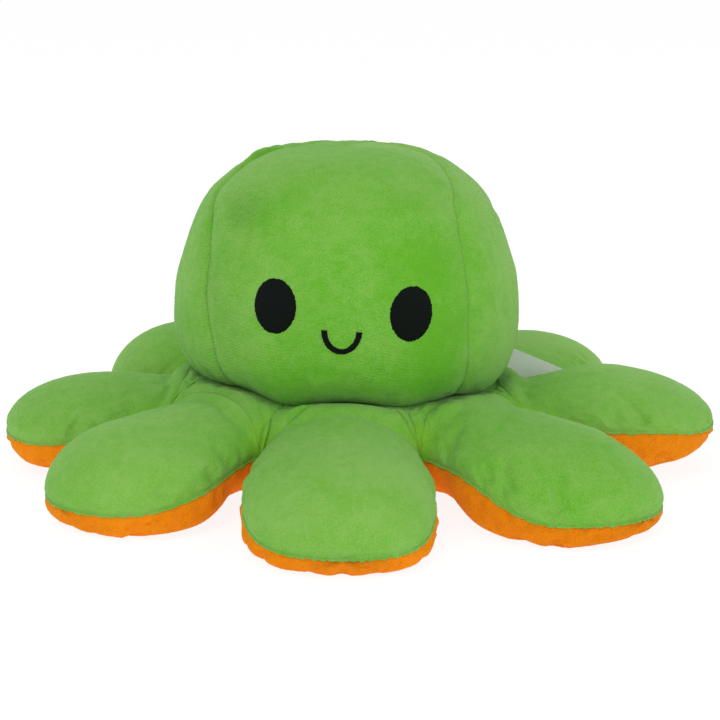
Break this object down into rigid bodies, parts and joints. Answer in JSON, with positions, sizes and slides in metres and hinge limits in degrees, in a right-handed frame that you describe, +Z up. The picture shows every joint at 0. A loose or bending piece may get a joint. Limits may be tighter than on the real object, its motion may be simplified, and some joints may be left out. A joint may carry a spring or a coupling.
{
  "type": "plush octopus",
  "caption": "Small stuffed octopus that can be turned inside out: a round hollow head with a stitched face on a flat ring of short fat legs, green plush above and orange below.",
  "frame": {"origin": "on the surface it stands on, under the middle of its box", "axes": "+Z up, face looks along -Y, +X to the right of someone who looks at the face"},
  "size_m": [0.2176, 0.216, 0.0978],
  "materials": {
    "green_plush": "bright grass green short-pile plush, soft nap with paler brushed patches",
    "orange_plush": "orange short-pile plush, soft nap",
    "fibre_fill": "loose white polyester fibre filling",
    "black_thread": "near-black satin-stitch embroidery thread",
    "white_satin": "white woven satin ribbon, left bare"
  },
  "bodies": {
    "head": {"head_front_panel": "green_plush", "head_right_panel": "green_plush", "head_back_panel": "green_plush", "head_left_panel": "green_plush", "lining_front_panel": "orange_plush", "lining_right_panel": "orange_plush", "lining_back_panel": "orange_plush", "lining_left_panel": "orange_plush", "head_filling": "fibre_fill", "ring_top": "green_plush", "ring_bottom": "orange_plush", "ring_filling": "fibre_fill", "eye_left": "black_thread", "eye_right": "black_thread", "mouth": "black_thread", "lining_eye_left": "black_thread", "lining_eye_right": "black_thread", "lining_mouth": "black_thread", "label": "white_satin"},
    "leg_front": {"leg_top_front": "green_plush", "leg_bottom_front": "orange_plush", "leg_filling_front": "fibre_fill"},
    "leg_front_right": {"leg_top_front_right": "green_plush", "leg_bottom_front_right": "orange_plush", "leg_filling_front_right": "fibre_fill"},
    "leg_right": {"leg_top_right": "green_plush", "leg_bottom_right": "orange_plush", "leg_filling_right": "fibre_fill"},
    "leg_back_right": {"leg_top_back_right": "green_plush", "leg_bottom_back_right": "orange_plush", "leg_filling_back_right": "fibre_fill"},
    "leg_back": {"leg_top_back": "green_plush", "leg_bottom_back": "orange_plush", "leg_filling_back": "fibre_fill"},
    "leg_back_left": {"leg_top_back_left": "green_plush", "leg_bottom_back_left": "orange_plush", "leg_filling_back_left": "fibre_fill"},
    "leg_left": {"leg_top_left": "green_plush", "leg_bottom_left": "orange_plush", "leg_filling_left": "fibre_fill"},
    "leg_front_left": {"leg_top_front_left": "green_plush", "leg_bottom_front_left": "orange_plush", "leg_filling_front_left": "fibre_fill"}
  },
  "joints": [
    {"name": "leg_front_bend", "type": "hinge", "parent": "head", "child": "leg_front", "pos_m": [-0.00405, -0.057, 0.024], "axis": [-1, 0, 0], "range_deg": [-12, 80], "stiffness_Nm_per_rad": 0.03},
    {"name": "leg_front_right_bend", "type": "hinge", "parent": "head", "child": "leg_front_right", "pos_m": [0.03626, -0.04031, 0.024], "axis": [-0.7071, -0.7071, 0], "range_deg": [-12, 80], "stiffness_Nm_per_rad": 0.03},
    {"name": "leg_right_bend", "type": "hinge", "parent": "head", "child": "leg_right", "pos_m": [0.05295, 0, 0.024], "axis": [0, -1, 0], "range_deg": [-12, 80], "stiffness_Nm_per_rad": 0.03},
    {"name": "leg_back_right_bend", "type": "hinge", "parent": "head", "child": "leg_back_right", "pos_m": [0.03626, 0.04031, 0.024], "axis": [0.7071, -0.7071, 0], "range_deg": [-12, 80], "stiffness_Nm_per_rad": 0.03},
    {"name": "leg_back_bend", "type": "hinge", "parent": "head", "child": "leg_back", "pos_m": [-0.00405, 0.057, 0.024], "axis": [1, 0, 0], "range_deg": [-12, 80], "stiffness_Nm_per_rad": 0.03},
    {"name": "leg_back_left_bend", "type": "hinge", "parent": "head", "child": "leg_back_left", "pos_m": [-0.04435, 0.04031, 0.024], "axis": [0.7071, 0.7071, 0], "range_deg": [-12, 80], "stiffness_Nm_per_rad": 0.03},
    {"name": "leg_left_bend", "type": "hinge", "parent": "head", "child": "leg_left", "pos_m": [-0.06105, 0, 0.024], "axis": [0, 1, 0], "range_deg": [-12, 80], "stiffness_Nm_per_rad": 0.03},
    {"name": "leg_front_left_bend", "type": "hinge", "parent": "head", "child": "leg_front_left", "pos_m": [-0.04435, -0.04031, 0.024], "axis": [-0.7071, 0.7071, 0], "range_deg": [-12, 80], "stiffness_Nm_per_rad": 0.03}
  ]
}
